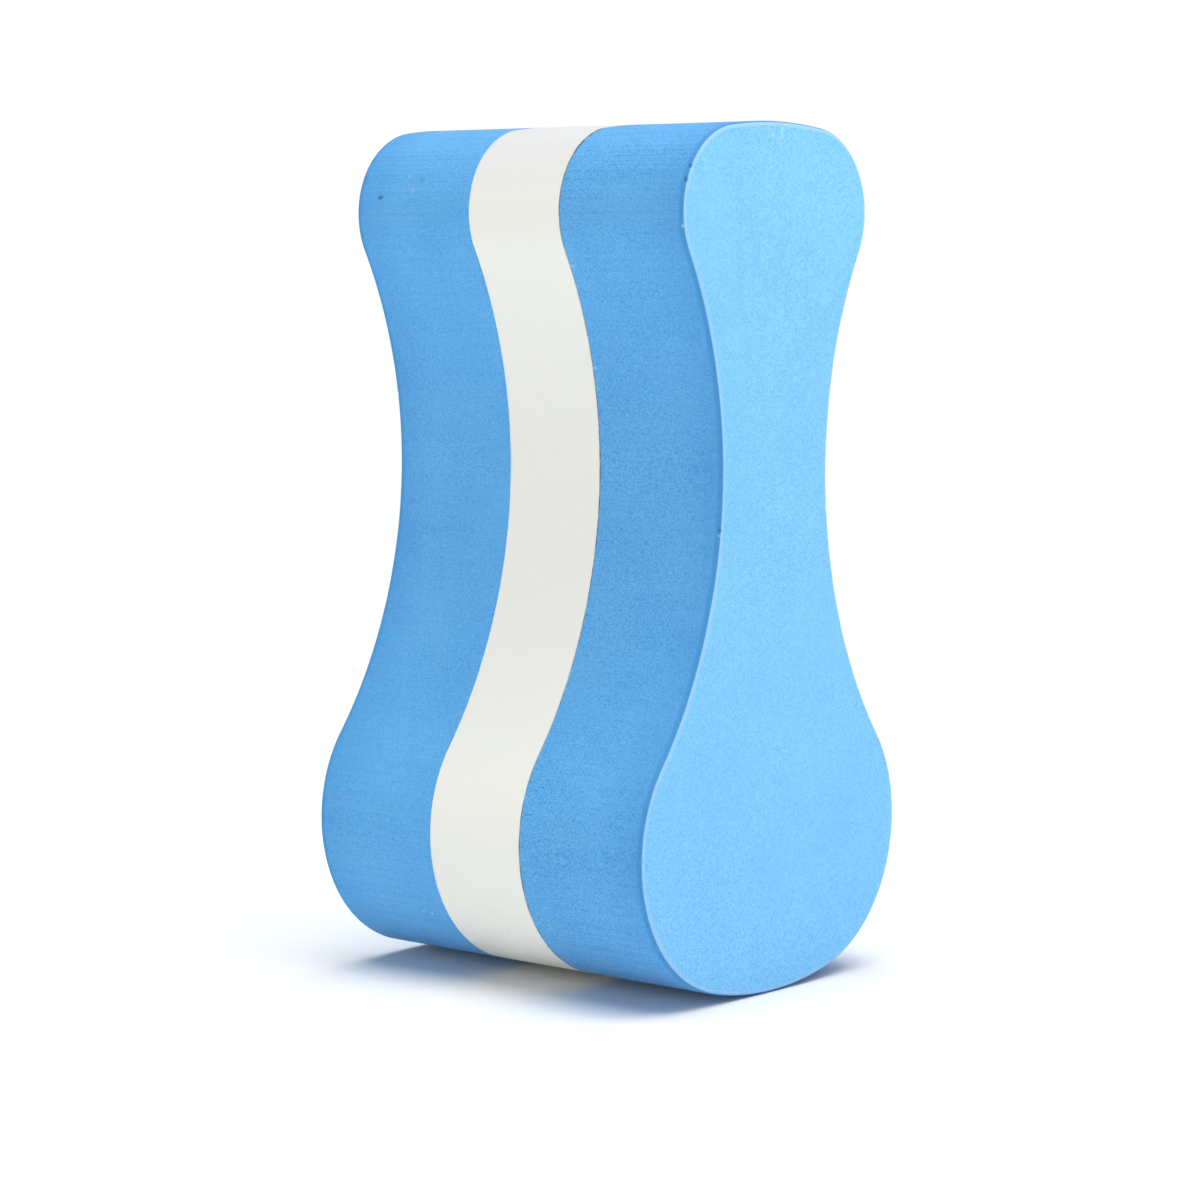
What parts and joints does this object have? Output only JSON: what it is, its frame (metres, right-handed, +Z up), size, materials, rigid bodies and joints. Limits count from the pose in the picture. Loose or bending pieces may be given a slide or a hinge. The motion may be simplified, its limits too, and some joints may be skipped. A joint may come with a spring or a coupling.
{
  "type": "pull buoy",
  "caption": "Figure-of-eight foam float of bonded side-by-side layers, held between the thighs to keep a swimmer's legs up.",
  "frame": {"origin": "under the middle of the big end, at the lowest point of its crown", "axes": "+Z up the length from the big end to the small end, +X across the layers to the right slab, +Y through the thickness"},
  "size_m": [0.11, 0.105, 0.22],
  "materials": {
    "blue_foam": "matte closed-cell foam",
    "white_foam": "matte closed-cell foam",
    "glue": "dull dried adhesive"
  },
  "bodies": {
    "root": {"left_foam_slab": "blue_foam", "left_glue_film": "glue", "centre_foam_slab": "white_foam", "right_glue_film": "glue", "right_foam_slab": "blue_foam"}
  },
  "joints": []
}
